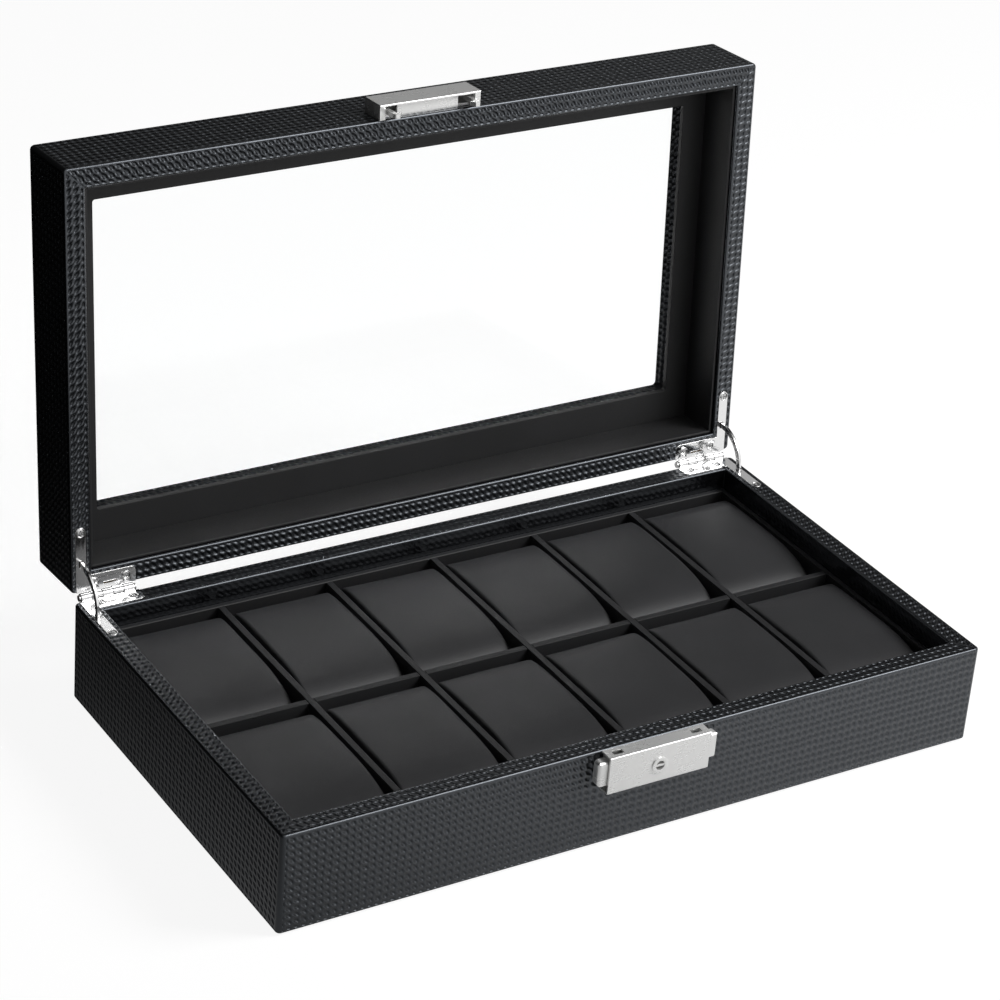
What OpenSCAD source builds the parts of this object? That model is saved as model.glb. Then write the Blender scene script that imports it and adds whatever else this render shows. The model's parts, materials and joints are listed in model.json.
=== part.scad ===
// Watch box for twelve watches: a leatherette base with a pillow tray, and a glazed lid
// on two corner hinges, closed by a two-button key lock.
// Millimetres. X is the width, Y the depth with the front at -Y, Z is up.
// The origin is the middle of the resting face. The lid is drawn open against its stays.

/* [Box] */
// Outside width of the base and the lid
box_width = 335; // [300:1:370]
// Outside depth of the base and the lid
box_depth = 188; // [175:1:210]
// Height of the base, from its resting face to its rim
base_height = 46.5; // [43:0.5:54]
// Height of the lid, from its rim to its top
lid_height = 33; // [30:0.5:40]
// Width of the rim of the base and of the lid
rim_width = 9.5; // [9.5:0.1:12]
// Thickness of the leatherette
cover_thickness = 0.9; // [0.6:0.1:1.1]
// Radius of the upright corners of the leatherette
corner_radius = 1.5; // [0.8:0.1:2.5]
// Gap between the two rims when the lid is closed
rim_gap = 0.4; // [0.3:0.1:1]
// Angle to which the lid opens
lid_open = 94; // [80:1:100]

/* [Base] */
// Thickness of the floor panel
floor_thickness = 3; // [2.5:0.5:4]
// Width of the ledge cut in the walls for the floor panel
floor_ledge = 4; // [3:0.5:5]
// Height by which the felt lifts the leatherette off the table
felt_proud = 0.8; // [0.4:0.1:1.2]
// Width of the leatherette turned under the base
turn_under = 12; // [8:1:18]
// Play between a loose piece and the space it drops into
fit = 0.1; // [0.05:0.05:0.3]

/* [Tray] */
// Depth of the lining's top edge below the rim
tray_drop = 10; // [7:0.5:13]
// Thickness of the lining's walls
liner_thickness = 2.5; // [2:0.1:3.5]
// Thickness of the lining's floor
liner_floor = 1; // [0.8:0.1:2]
// Thickness of a divider
divider_thickness = 3; // [2:0.1:4]
// Play of the dividers in each other's slots
lap_gap = 0.1; // [0.05:0.05:0.3]

/* [Pillows] */
// Height of a pillow
pillow_height = 31.5; // [27:0.5:34]
// Radius of a pillow's rolled ends
pillow_radius = 15; // [9:0.5:16]
// Gap between a pillow's sides and the dividers
pillow_side_gap = 0.8; // [0.4:0.1:3]
// Gap between a pillow's ends and the lining or the long divider
pillow_end_gap = 2.2; // [0.5:0.1:5]
// Gap under a pillow
pillow_rest_gap = 0.3; // [0.1:0.1:1]

/* [Lid] */
// Thickness of the window frame board
frame_thickness = 5.6; // [4:0.2:7]
// Width of the lined border at each side of the window
window_side = 13; // [11:0.5:35]
// Width of the lined border at the front of the window
window_front = 14; // [12:0.5:30]
// Width of the lined border at the back of the window
window_back = 16; // [12:0.5:30]
// Step from the inner window edge out to the edge in the leatherette
window_step = 1.6; // [1:0.1:5]
// Radius of the corners of the window in the leatherette
window_corner = 2.6; // [1:0.1:4]
// Radius of the inner window corners
retainer_corner = 1.2; // [0.5:0.1:3]
// Thickness of the glass
glass_thickness = 2; // [1.5:0.1:3]
// Width of the edge of the glass that the retainer holds
glass_hold = 8; // [6:0.5:9]
// Thickness of the retainer under the glass
retainer_thickness = 2.5; // [2:0.1:4]
// Thickness of the lid's lining
lid_liner_thickness = 1.2; // [0.8:0.1:2]
// Depth of the lining's edge below the lid's rim
lid_liner_drop = 1.5; // [0.5:0.1:3]

/* [Hinges] */
// Distance of the hinge pin behind the back of the box
pin_offset = 2.4; // [2.3:0.1:3]
// Diameter of the hinge pin
pin_diameter = 1.8; // [1.4:0.1:2]
// Diameter of the knuckles
knuckle_diameter = 3.8; // [3.4:0.1:4]
// Thickness of a leaf
leaf_thickness = 1.2; // [1:0.1:1.5]
// Width of a leaf's arm along the side
side_arm_width = 4.8; // [4.6:0.1:6.4]
// Length of a leaf's arm along the side
side_arm_length = 30; // [28:0.5:40]
// Width of a leaf's arm along the back
back_arm_width = 7.4; // [6.6:0.1:8]
// Length of a leaf's arm along the back
back_arm_length = 27.5; // [26:0.5:36]
// Radius of the front corner at the end of a back arm
arm_corner = 2.4; // [1:0.1:3]
// Length of the slot in a leaf of the lid
leaf_slot = 6; // [4:0.5:8]
// Radius of the stays about the pin
stay_radius = 15.5; // [14.5:0.5:20]
// Width of a stay
stay_width = 2.6; // [2:0.1:3.4]
// Thickness of a stay
stay_thickness = 1.2; // [0.8:0.1:1.6]
// Play of a stay in its slots
stay_gap = 0.3; // [0.2:0.05:0.4]
// Diameter of the hinge and lock screws
screw_diameter = 2; // [1.6:0.1:2.4]
// Diameter of the screw heads
screw_head = 3.8; // [3.2:0.1:4]

/* [Lock] */
// Width of the lock case and of the catch
lock_width = 48.6; // [46:0.2:56]
// Height of the lock case
lock_height = 17.2; // [17:0.2:20]
// Depth of the lock case and of the catch
lock_depth = 6.8; // [6.6:0.1:8]
// Drop of the lock case below the rim of the base
lock_drop = 0.2; // [0:0.1:1.5]
// Thickness of the lock's sheet metal
lock_sheet = 0.9; // [0.7:0.1:1]
// Height of a button
button_height = 11; // [10:0.2:11.6]
// Length of a button that stands out of the case
button_reach = 4.4; // [3.6:0.1:6]
// Depth of a button from front to back
button_depth = 3.9; // [3.8:0.1:4.1]
// Drop of the buttons below the top of the case
button_drop = 2.1; // [1.3:0.1:2.4]
// Radius of the folds of a button
button_fold = 1.6; // [0.9:0.1:1.8]
// Travel of a button
button_travel = 2.8; // [2.6:0.1:3]
// Diameter of the key plug's rim
plug_diameter = 7.4; // [6.6:0.1:8]
// Diameter of the keyhole
keyhole_diameter = 4.2; // [3:0.1:4.4]
// Height of the catch
catch_height = 13.2; // [12:0.2:16]
// Width of the catch's end posts
catch_post = 2.6; // [1.6:0.1:2.8]
// Thickness of a hook
hook_thickness = 2; // [1.4:0.1:2.1]
// Depth of the closing strip inside the catch
catch_recess = 2.4; // [1:0.1:3]

/* [Hidden] */
c = cover_thickness;
leather = [0.07, 0.07, 0.08];
suede = [0.16, 0.16, 0.17];
board = [0.55, 0.42, 0.28];
felt = [0.05, 0.05, 0.05];
lining = [0.13, 0.13, 0.14];
chrome = [0.85, 0.86, 0.88];
nickel = [0.74, 0.73, 0.71];
steel = [0.6, 0.6, 0.62];
glass_tint = [0.8, 0.88, 0.86, 0.35];

// Base, from the outside inwards
board_out_w = box_width - 2 * c;
board_out_d = box_depth - 2 * c;
cavity_w = box_width - 2 * rim_width;
cavity_d = box_depth - 2 * rim_width;
board_in_w = cavity_w + 2 * c;
board_in_d = cavity_d + 2 * c;
board_z0 = felt_proud + c;
board_z1 = base_height - c;
floor_z1 = board_z0 + floor_thickness;
panel_w = board_in_w + 2 * floor_ledge;
panel_d = board_in_d + 2 * floor_ledge;
turn_w = box_width - 2 * turn_under;
turn_d = box_depth - 2 * turn_under;

// Tray
columns = 6;
tray_top = base_height - tray_drop;
tray_floor = floor_z1 + liner_floor;
tray_w = cavity_w - 2 * fit - 2 * liner_thickness;
tray_d = cavity_d - 2 * fit - 2 * liner_thickness;
cell_w = (tray_w - (columns - 1) * divider_thickness) / columns;
cell_d = (tray_d - divider_thickness) / 2;
pitch = cell_w + divider_thickness;
lap_z = (tray_floor + tray_top) / 2;
pillow_w = cell_w - 2 * pillow_side_gap;
pillow_d = cell_d - 2 * pillow_end_gap;
pillow_r = min(pillow_radius, pillow_height / 2 - 0.2);

// Hinge axis
pin_y = box_depth / 2 + pin_offset;
pin_z = base_height + rim_gap / 2;
pin_r = pin_diameter / 2;
knuckle_r = knuckle_diameter / 2;
back_y = box_depth / 2;
leaf_z1 = base_height;
leaf_z0 = leaf_z1 - leaf_thickness;
arm_x = box_width / 2 - c - (rim_width - 2 * c) / 2;
arm_front = back_y - side_arm_length;
arm_back = back_y - back_arm_width;
corner_x = arm_x + side_arm_width / 2;
back_arm_x = corner_x - back_arm_length;
knuckle_x0 = back_arm_x + 1.5;
knuckle_x1 = corner_x - 1.5;
knuckles = 5;
knuckle_step = (knuckle_x1 - knuckle_x0) / knuckles;
knuckle_play = 0.15;
pin_play = 0.1;
pocket_gap = 0.15;

// Stays: an arc about the pin, with a wider foot at each end that stops it
foot_rise = 1.1;
foot_angle = 4.6;
stop_gap = 0.25;
foot_top = asin((rim_gap / 2 + leaf_thickness + stop_gap) / (stay_radius + stay_width / 2));
stay_past = foot_top + foot_angle;
stay_half = lid_open / 2 + stay_past;
mortise_half = stay_half + 1.5;

// Screws
head_depth = 0.7;
head_crown = 0.1;
screw_play = 0.1;
hinge_screw_length = 10;
lock_screw_length = 8;
side_screw_y = arm_front + side_arm_width / 2;
back_screw_y = back_y - back_arm_width / 2;
back_screw_x1 = back_arm_x + 4.5;
back_screw_x2 = corner_x - 8.3;
slot_x = (back_screw_x1 + back_screw_x2) / 2;
slot_y = back_y - 2.3;
slot_half = 0.45;

// Lid, as it lies when it is closed
lid_z0 = base_height + rim_gap;
lid_z1 = lid_z0 + lid_height;
frame_z1 = lid_z1 - c;
frame_z0 = frame_z1 - frame_thickness;
glass_z0 = frame_z0 - glass_thickness;
retainer_z0 = glass_z0 - retainer_thickness;
window_width = cavity_w - 2 * window_side;
window_depth = cavity_d - window_front - window_back;
window_y = (window_front - window_back) / 2;

// Lock, measured from the top of the case at the front of the base
lock_z = base_height - lock_drop;
wall_y = -box_depth / 2;
case_half = lock_width / 2;
face_y1 = -lock_depth + lock_sheet;
slide_gap = 0.3;
button_sheet = 0.8;
button_y0 = face_y1 + slide_gap;
button_z1 = -button_drop;
button_z0 = button_z1 - button_height;
back_plate = 1;
button_y1 = button_y0 + button_depth;
button_x1 = case_half + button_reach;
hook_y = (button_y0 + button_sheet + button_y1) / 2;
hook_out = case_half - 3.4;
hook_shank = 2;
hook_barb = 2.2;
hook_round = 1.2;
hook_in = hook_out - hook_shank;
barb_in = hook_in - hook_barb;
latch_edge = hook_in - 0.6;
window_out = hook_out + button_travel + 0.4;
latch_x0 = latch_edge - 4.2;
barb_z1 = button_z1 - button_sheet - 0.5;
barb_z0 = barb_z1 - 2.4;
hook_play = 0.3;
slot_half_y = hook_thickness / 2 + hook_play;
latch_half_y = hook_thickness / 2 + 0.2;
case_fold = 0.6;
plug_z = -lock_height / 2 - 0.6;
plug_r = plug_diameter / 2;
plug_body_r = plug_r - 0.7;
plug_proud = 0.5;
keyhole_r = keyhole_diameter / 2;
cam_seat = keyhole_r + 0.6;
plug_end = -back_plate - 1.2;
keyhole_end = plug_end - 0.8;
web_front = -lock_depth - plug_proud + 0.3;
web_half = 0.55;
cam_short = 3.2;
cam_long = 6.1;
tail_x = cam_long + 0.4;
tail_half = 1.9;
tab_x = latch_x0 - 0.2;
spring_r = 1.1;
spring_z = plug_z - cam_seat - spring_r - 0.3;
tab_z0 = spring_z - spring_r - 0.4;
spring_wire = 0.4;
spring_turns = 9;
post_x1 = case_half - 5;
stop_x1 = post_x1 - lock_sheet - 0.2;
post_z1 = button_z0 - 0.4;
lock_screw_x = 10;
lock_screw_z = -4.6;
catch_z0 = 0.4;
catch_z1 = catch_z0 + catch_height;
lid_rim_z = lid_z0 - lock_z;
strip_z = lid_rim_z + catch_recess;
catch_screw_x = 8;
catch_screw_z = (lid_rim_z + catch_z1) / 2 + 0.4;

// ---------- shared shapes ----------

// A box between two corners
module span(x0, x1, y0, y1, z0, z1) {
    translate([x0, y0, z0])
        cube([x1 - x0, y1 - y0, z1 - z0]);
}

// A box centred on the Z axis
module slab(w, d, z0, z1) {
    span(-w / 2, w / 2, -d / 2, d / 2, z0, z1);
}

// A box centred on the Z axis with round upright corners
module round_slab(w, d, z0, z1, r) {
    slab(w - 2 * r, d, z0, z1);
    slab(w, d - 2 * r, z0, z1);
    for (sx = [-1, 1], sy = [-1, 1])
        translate([sx * (w / 2 - r), sy * (d / 2 - r), z0])
            cylinder(h = z1 - z0, r = r, $fn = 48);
}

// A rectangular ring
module ring(w, d, w_in, d_in, z0, z1) {
    difference() {
        slab(w, d, z0, z1);
        slab(w_in, d_in, z0 - 1, z1 + 1);
    }
}

// A cylinder along X
module bar_x(x0, x1, y, z, r) {
    translate([x0, y, z])
        rotate([0, 90, 0])
            cylinder(h = x1 - x0, r = r, $fn = 48);
}

// A cylinder along Y
module bar_y(x, y0, y1, z, r) {
    translate([x, y1, z])
        rotate([90, 0, 0])
            cylinder(h = y1 - y0, r = r, $fn = 48);
}

// A box whose two long edges on the front are rounded
module fold_x(x0, x1, y0, y1, z0, z1, r) {
    span(x0, x1, y0 + r, y1, z0, z1);
    span(x0, x1, y0, y1, z0 + r, z1 - r);
    for (z = [z0 + r, z1 - r])
        bar_x(x0, x1, y0 + r, z, r);
}

// Draws its children on both sides of the box
module both_sides() {
    children();
    mirror([1, 0, 0])
        children();
}

// Turns a base-side shape into the matching lid-side shape of the closed box
module over_rim() {
    translate([0, 0, 2 * pin_z])
        mirror([0, 0, 1])
            children();
}

// Turns its children back about the hinge pin
module swung(angle) {
    translate([0, pin_y, pin_z])
        rotate([-angle, 0, 0])
            translate([0, -pin_y, -pin_z])
                children();
}

// Places lock parts on the front of the box
module at_lock() {
    translate([0, wall_y, lock_z])
        children();
}

// ---------- hinge shapes, right-hand side of the base ----------

// Part of a ring about the pin; angles rise from the front, x centred on the side wall
module pin_arc(r0, r1, a0, a1, t) {
    far = 3 * r1;
    mid = (a0 + a1) / 2;
    translate([arm_x - t / 2, pin_y, pin_z])
        rotate([90, 0, 90])
            intersection() {
                difference() {
                    cylinder(h = t, r = r1, $fn = 96);
                    translate([0, 0, -1])
                        cylinder(h = t + 2, r = r0, $fn = 96);
                }
                translate([0, 0, -1])
                    linear_extrude(height = t + 2)
                        polygon([
                            [0, 0],
                            [-far * cos(a0), far * sin(a0)],
                            [-far * cos(mid), far * sin(mid)],
                            [-far * cos(a1), far * sin(a1)]
                        ]);
            }
}

// Outline of a leaf's two arms, grown by g on every side
module leaf_arms(z0, z1, g, past) {
    span(arm_x - side_arm_width / 2 - g, corner_x + g, side_screw_y, back_y + past, z0, z1);
    translate([arm_x, side_screw_y, z0])
        cylinder(h = z1 - z0, r = side_arm_width / 2 + g, $fn = 48);
    span(back_arm_x + arm_corner, corner_x + g, arm_back - g, back_y + past, z0, z1);
    span(back_arm_x - g, corner_x + g, arm_back + arm_corner, back_y + past, z0, z1);
    translate([back_arm_x + arm_corner, arm_back + arm_corner, z0])
        cylinder(h = z1 - z0, r = arm_corner + g, $fn = 48);
}

// Screw places of a leaf
module at_leaf_screws() {
    translate([arm_x, side_screw_y, leaf_z1])
        children();
    translate([back_screw_x1, back_screw_y, leaf_z1])
        children();
    translate([back_screw_x2, back_screw_y, leaf_z1])
        children();
}

// Leaf with the knuckles that stand in the given places, and a slot if it has a length
module leaf(places, bore, slot) {
    difference() {
        union() {
            leaf_arms(leaf_z0, leaf_z1, 0, 0);
            for (i = places) {
                x0 = knuckle_x0 + i * knuckle_step + knuckle_play / 2;
                x1 = knuckle_x0 + (i + 1) * knuckle_step - knuckle_play / 2;
                bar_x(x0, x1, pin_y, pin_z, knuckle_r);
                span(x0, x1, back_y - 1, pin_y, leaf_z0, leaf_z1);
            }
        }
        bar_x(knuckle_x0 - 1, knuckle_x1 + 1, pin_y, pin_z, bore);
        pin_arc(stay_radius - stay_width / 2 - stay_gap, stay_radius + stay_width / 2 + stay_gap,
            -12, 12, stay_thickness + 2 * stay_gap);
        at_leaf_screws()
            screw_cut(head_depth);
        if (slot > 0)
            span(slot_x - slot / 2, slot_x + slot / 2, slot_y - slot_half, slot_y + slot_half,
                leaf_z0 - 1, leaf_z1 + 1);
    }
}

// Room for the leaf, the stay and the screws in the base
module hinge_cuts() {
    leaf_arms(leaf_z0, leaf_z1 + 1, pocket_gap, 1);
    pin_arc(stay_radius - stay_width / 2 - stay_gap,
        stay_radius + stay_width / 2 + foot_rise + stay_gap,
        -mortise_half, 3, stay_thickness + 2 * stay_gap);
    at_leaf_screws()
        translate([0, 0, -hinge_screw_length - 1])
            cylinder(h = hinge_screw_length + 2, r = screw_diameter / 2 + screw_play, $fn = 32);
}

// Stay as it lies when the box is closed
module stay() {
    r0 = stay_radius - stay_width / 2;
    r1 = stay_radius + stay_width / 2;
    pin_arc(r0, r1, -stay_half, stay_half, stay_thickness);
    pin_arc(r0, r1 + foot_rise, -stay_half, -stay_half + foot_angle, stay_thickness);
    pin_arc(r0, r1 + foot_rise, stay_half - foot_angle, stay_half, stay_thickness);
}

// Hinge pin with a head at each end
module hinge_pin() {
    bar_x(knuckle_x0 - 0.2, knuckle_x1 + 0.2, pin_y, pin_z, pin_r);
    bar_x(knuckle_x0 - 0.9, knuckle_x0, pin_y, pin_z, pin_r + 0.5);
    bar_x(knuckle_x1, knuckle_x1 + 0.7, pin_y, pin_z, pin_r + 0.5);
}

// ---------- screws ----------

// Screw pointing down from z = 0, with a low crowned head and a cross recess
module screw(length) {
    r = screw_head / 2 - screw_play;
    difference() {
        union() {
            translate([0, 0, -head_depth])
                cylinder(h = head_depth - 0.3, r = r, $fn = 32);
            translate([0, 0, -0.3])
                cylinder(h = 0.25, r1 = r, r2 = 0.75 * r, $fn = 32);
            translate([0, 0, -0.05])
                cylinder(h = 0.05 + head_crown, r1 = 0.75 * r, r2 = 0.4 * r, $fn = 32);
            translate([0, 0, -length])
                cylinder(h = length - 0.2, r = screw_diameter / 2, $fn = 32);
        }
        span(-1.2, 1.2, -0.25, 0.25, -0.5, 1);
        span(-0.25, 0.25, -1.2, 1.2, -0.5, 1);
    }
}

// Hole and head seat for a screw
module screw_cut(depth) {
    translate([0, 0, -depth])
        cylinder(h = depth + 1, r = screw_head / 2, $fn = 32);
    translate([0, 0, -6])
        cylinder(h = 7, r = screw_diameter / 2 + screw_play, $fn = 32);
}

// Points screws at the front wall from the lock's side
module from_front() {
    rotate([90, 0, 0])
        children();
}

// Holes in the base front wall for the lock's screws
module lock_screw_holes() {
    at_lock()
        for (s = [-1, 1])
            bar_y(s * lock_screw_x, -1, lock_screw_length + 1, lock_screw_z,
                screw_diameter / 2 + screw_play);
}

// Holes in the lid front wall for the catch's screws
module catch_screw_holes() {
    at_lock()
        for (s = [-1, 1])
            bar_y(s * catch_screw_x, -1, lock_screw_length + 1, catch_screw_z,
                screw_diameter / 2 + screw_play);
}

// ---------- base ----------

// Ledge for the floor panel
module floor_ledge_cut() {
    slab(panel_w + 2 * fit, panel_d + 2 * fit, board_z0 - 1, floor_z1);
}

// Side wall on the right
module base_side_board() {
    difference() {
        span(board_in_w / 2, board_out_w / 2, -board_out_d / 2, board_out_d / 2,
            board_z0, board_z1);
        floor_ledge_cut();
        hinge_cuts();
    }
}

module base_front_wall() {
    color(board)
        difference() {
            span(-board_in_w / 2, board_in_w / 2, -board_out_d / 2, -board_in_d / 2,
                board_z0, board_z1);
            floor_ledge_cut();
            lock_screw_holes();
        }
}

module base_back_wall() {
    color(board)
        difference() {
            span(-board_in_w / 2, board_in_w / 2, board_in_d / 2, board_out_d / 2,
                board_z0, board_z1);
            floor_ledge_cut();
            both_sides()
                hinge_cuts();
        }
}

module base_right_wall() {
    color(board)
        base_side_board();
}

module base_left_wall() {
    color(board)
        mirror([1, 0, 0])
            base_side_board();
}

module base_floor() {
    color(board)
        slab(panel_w, panel_d, board_z0, floor_z1);
}

module base_cover() {
    color(leather)
        difference() {
            round_slab(box_width, box_depth, felt_proud, base_height, corner_radius);
            ring(board_out_w, board_out_d, board_in_w, board_in_d, board_z0, board_z1);
            slab(board_in_w, board_in_d, board_z0, floor_z1);
            slab(cavity_w, cavity_d, board_z0, base_height + 1);
            slab(turn_w, turn_d, 0, board_z0 + 0.1);
            both_sides()
                hinge_cuts();
            lock_screw_holes();
        }
}

module base_felt() {
    color(felt)
        slab(turn_w - 4 * fit, turn_d - 4 * fit, 0, board_z0);
}

// ---------- tray ----------

module tray_liner() {
    color(suede)
        difference() {
            slab(cavity_w - 2 * fit, cavity_d - 2 * fit, floor_z1, tray_top);
            slab(tray_w, tray_d, tray_floor, tray_top + 1);
        }
}

module divider_long() {
    color(suede)
        difference() {
            slab(tray_w - 2 * fit, divider_thickness, tray_floor, tray_top);
            for (i = [1 : columns - 1])
                translate([(i - columns / 2) * pitch, 0, 0])
                    slab(divider_thickness + 2 * lap_gap, divider_thickness + 2,
                        lap_z, tray_top + 1);
        }
}

module cross_divider(i) {
    color(suede)
        translate([(i - columns / 2) * pitch, 0, 0])
            difference() {
                slab(divider_thickness, tray_d - 2 * fit, tray_floor, tray_top);
                slab(divider_thickness + 2, divider_thickness + 2 * lap_gap,
                    tray_floor - 1, lap_z);
            }
}

module divider_cross_1() { cross_divider(1); }
module divider_cross_2() { cross_divider(2); }
module divider_cross_3() { cross_divider(3); }
module divider_cross_4() { cross_divider(4); }
module divider_cross_5() { cross_divider(5); }

// Pillow in column i; row is -1 at the front and 1 at the back
module pillow(i, row) {
    x = (i - (columns + 1) / 2) * pitch;
    y = row * (divider_thickness + cell_d) / 2;
    z0 = tray_floor + pillow_rest_gap;
    d = pillow_d / 2;
    h = pillow_height;
    color(suede)
        translate([x, y, z0]) {
            span(-pillow_w / 2, pillow_w / 2, -d + pillow_r, d - pillow_r, 0, h);
            span(-pillow_w / 2, pillow_w / 2, -d, d, pillow_r, h - pillow_r);
            for (sy = [-1, 1], z = [pillow_r, h - pillow_r])
                bar_x(-pillow_w / 2, pillow_w / 2, sy * (d - pillow_r), z, pillow_r);
        }
}

module pillow_front_1() { pillow(1, -1); }
module pillow_front_2() { pillow(2, -1); }
module pillow_front_3() { pillow(3, -1); }
module pillow_front_4() { pillow(4, -1); }
module pillow_front_5() { pillow(5, -1); }
module pillow_front_6() { pillow(6, -1); }
module pillow_back_1() { pillow(1, 1); }
module pillow_back_2() { pillow(2, 1); }
module pillow_back_3() { pillow(3, 1); }
module pillow_back_4() { pillow(4, 1); }
module pillow_back_5() { pillow(5, 1); }
module pillow_back_6() { pillow(6, 1); }

// ---------- hinges ----------

module base_leaf_right() {
    color(chrome)
        leaf([0, 2, 4], pin_r, 0);
}

module base_leaf_left() {
    color(chrome)
        mirror([1, 0, 0])
            leaf([0, 2, 4], pin_r, 0);
}

module lid_leaf_right() {
    color(chrome)
        swung(lid_open)
            over_rim()
                leaf([1, 3], pin_r + pin_play, leaf_slot);
}

module lid_leaf_left() {
    color(chrome)
        mirror([1, 0, 0])
            swung(lid_open)
                over_rim()
                    leaf([1, 3], pin_r + pin_play, leaf_slot);
}

module hinge_pin_right() {
    color(steel)
        hinge_pin();
}

module hinge_pin_left() {
    color(steel)
        mirror([1, 0, 0])
            hinge_pin();
}

module stay_right() {
    color(chrome)
        swung(lid_open / 2)
            stay();
}

module stay_left() {
    color(chrome)
        mirror([1, 0, 0])
            swung(lid_open / 2)
                stay();
}

module base_hinge_screws() {
    color(steel)
        both_sides()
            at_leaf_screws()
                screw(hinge_screw_length);
}

module lid_hinge_screws() {
    color(steel)
        swung(lid_open)
            over_rim()
                both_sides()
                    at_leaf_screws()
                        screw(hinge_screw_length);
}

// ---------- lock ----------

module lock_case() {
    color(nickel)
        at_lock()
            difference() {
                intersection() {
                    union() {
                        span(-case_half, case_half, -lock_depth, face_y1, -lock_height, 0);
                        span(-case_half, case_half, -lock_depth, 0, -lock_sheet, 0);
                        span(-case_half, case_half, -lock_depth, 0,
                            -lock_height, -lock_height + lock_sheet);
                        both_sides()
                            span(post_x1 - lock_sheet, post_x1, -lock_depth, -back_plate - fit,
                                -lock_height, post_z1);
                    }
                    fold_x(-case_half, case_half, -lock_depth, 0, -lock_height, 0, case_fold);
                }
                both_sides()
                    span(barb_in - hook_play, hook_out + hook_play, hook_y - slot_half_y,
                        hook_y + slot_half_y, -lock_sheet - 1, 1);
                bar_y(0, -lock_depth - 1, face_y1 + 1, plug_z, plug_body_r + pin_play);
            }
}

module lock_back_plate() {
    color(nickel)
        at_lock()
            difference() {
                span(-case_half + lock_sheet, case_half - lock_sheet, -back_plate, 0,
                    -lock_height + lock_sheet, -lock_sheet);
                for (s = [-1, 1])
                    translate([s * lock_screw_x, -back_plate, lock_screw_z])
                        from_front()
                            screw_cut(head_depth);
            }
}

// Right button: face, latch plate with the hook's window, end, spring tab, stop and tail
module button() {
    difference() {
        intersection() {
            button_plates();
            fold_x(0, button_x1, button_y0, button_y1, button_z0 - 3, button_z1, button_fold);
            union() {
                span(0, button_x1 - button_fold, button_y0, button_y1, button_z0 - 3, button_z1);
                span(0, button_x1, button_y0 + button_fold, button_y1,
                    button_z0 - 3, button_z1);
                translate([button_x1 - button_fold, button_y0 + button_fold, button_z0 - 3])
                    cylinder(h = button_height + 3, r = button_fold, $fn = 48);
            }
            union() {
                span(0, button_x1 - button_fold, button_y0, button_y1, button_z0 - 3, button_z1);
                span(0, button_x1, button_y0, button_y1,
                    button_z0 + button_fold, button_z1 - button_fold);
                for (z = [button_z0 + button_fold, button_z1 - button_fold])
                    bar_y(button_x1 - button_fold, button_y0, button_y1, z, button_fold);
            }
        }
        span(latch_edge, window_out, hook_y - latch_half_y, hook_y + latch_half_y,
            button_z1 - button_sheet - 1, button_z1 + 1);
    }
}

// Plates of a button before its folds are rounded
module button_plates() {
    union() {
        span(tab_x, button_x1, button_y0, button_y0 + button_sheet, button_z0, button_z1);
        span(tail_x, tab_x + 1, button_y0, button_y0 + button_sheet,
            plug_z - tail_half, plug_z + tail_half);
        span(latch_x0, button_x1, button_y0, button_y1,
            button_z1 - button_sheet, button_z1);
        span(button_x1 - button_sheet, button_x1, button_y0, button_y1,
            button_z0, button_z1);
        span(tab_x, tab_x + button_sheet, button_y0, button_y1,
            tab_z0, spring_z + spring_r + 0.8);
        span(stop_x1 - 1.2, stop_x1, button_y0, button_y0 + button_sheet,
            button_z0 - 1.7, button_z0 + 1);
    }
}

module button_right() {
    color(nickel)
        at_lock()
            button();
}

module button_left() {
    color(nickel)
        at_lock()
            mirror([1, 0, 0])
                button();
}

// Coil spring between the two tabs
module button_spring() {
    color(steel)
        at_lock()
            translate([-tab_x, (button_y0 + button_sheet + button_y1) / 2, spring_z])
                rotate([0, 90, 0])
                    linear_extrude(height = 2 * tab_x, twist = -360 * spring_turns,
                        slices = 16 * spring_turns)
                        translate([spring_r - spring_wire, 0])
                            circle(r = spring_wire, $fn = 8);
}

// Key plug, turned by the key; its body carries the cam
module lock_plug() {
    color(nickel)
        at_lock()
            difference() {
                union() {
                    bar_y(0, -lock_depth - plug_proud, -lock_depth, plug_z, plug_r);
                    bar_y(0, -lock_depth, button_y0 - 0.1, plug_z, plug_body_r);
                    bar_y(0, -lock_depth, plug_end, plug_z, cam_seat);
                }
                difference() {
                    bar_y(0, -lock_depth - 1, keyhole_end, plug_z, keyhole_r);
                    span(-plug_r, plug_r, web_front, keyhole_end + 1,
                        plug_z - web_half, plug_z + web_half);
                }
            }
}

// Cam that stands upright when the lock is open and blocks both tails when it is turned
module lock_cam() {
    y0 = button_y0 - 0.1;
    y1 = button_y0 + button_sheet - 0.1;
    color(steel)
        at_lock()
            difference() {
                union() {
                    bar_y(0, y0, y1, plug_z, cam_short);
                    bar_y(0, y0, y1, plug_z + cam_long - 1.6, 1.6);
                    bar_y(0, y0, y1, plug_z - cam_long + 1.6, 1.6);
                    span(-1.6, 1.6, y0, y1, plug_z - cam_long + 1.6, plug_z + cam_long - 1.6);
                }
                bar_y(0, y0 - 1, y1 + 1, plug_z, cam_seat);
            }
}

module lock_screws() {
    color(steel)
        at_lock()
            for (s = [-1, 1])
                translate([s * lock_screw_x, -back_plate, lock_screw_z])
                    from_front()
                        screw(lock_screw_length);
}

// ---------- lid, drawn closed and then swung open ----------

// Lid side wall on the right
module lid_side_board() {
    difference() {
        span(board_in_w / 2, board_out_w / 2, -board_out_d / 2, board_out_d / 2,
            lid_z0 + c, frame_z0);
        over_rim()
            hinge_cuts();
    }
}

module lid_front_wall() {
    color(board)
        swung(lid_open)
            difference() {
                span(-board_in_w / 2, board_in_w / 2, -board_out_d / 2, -board_in_d / 2,
                    lid_z0 + c, frame_z0);
                catch_screw_holes();
            }
}

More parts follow.
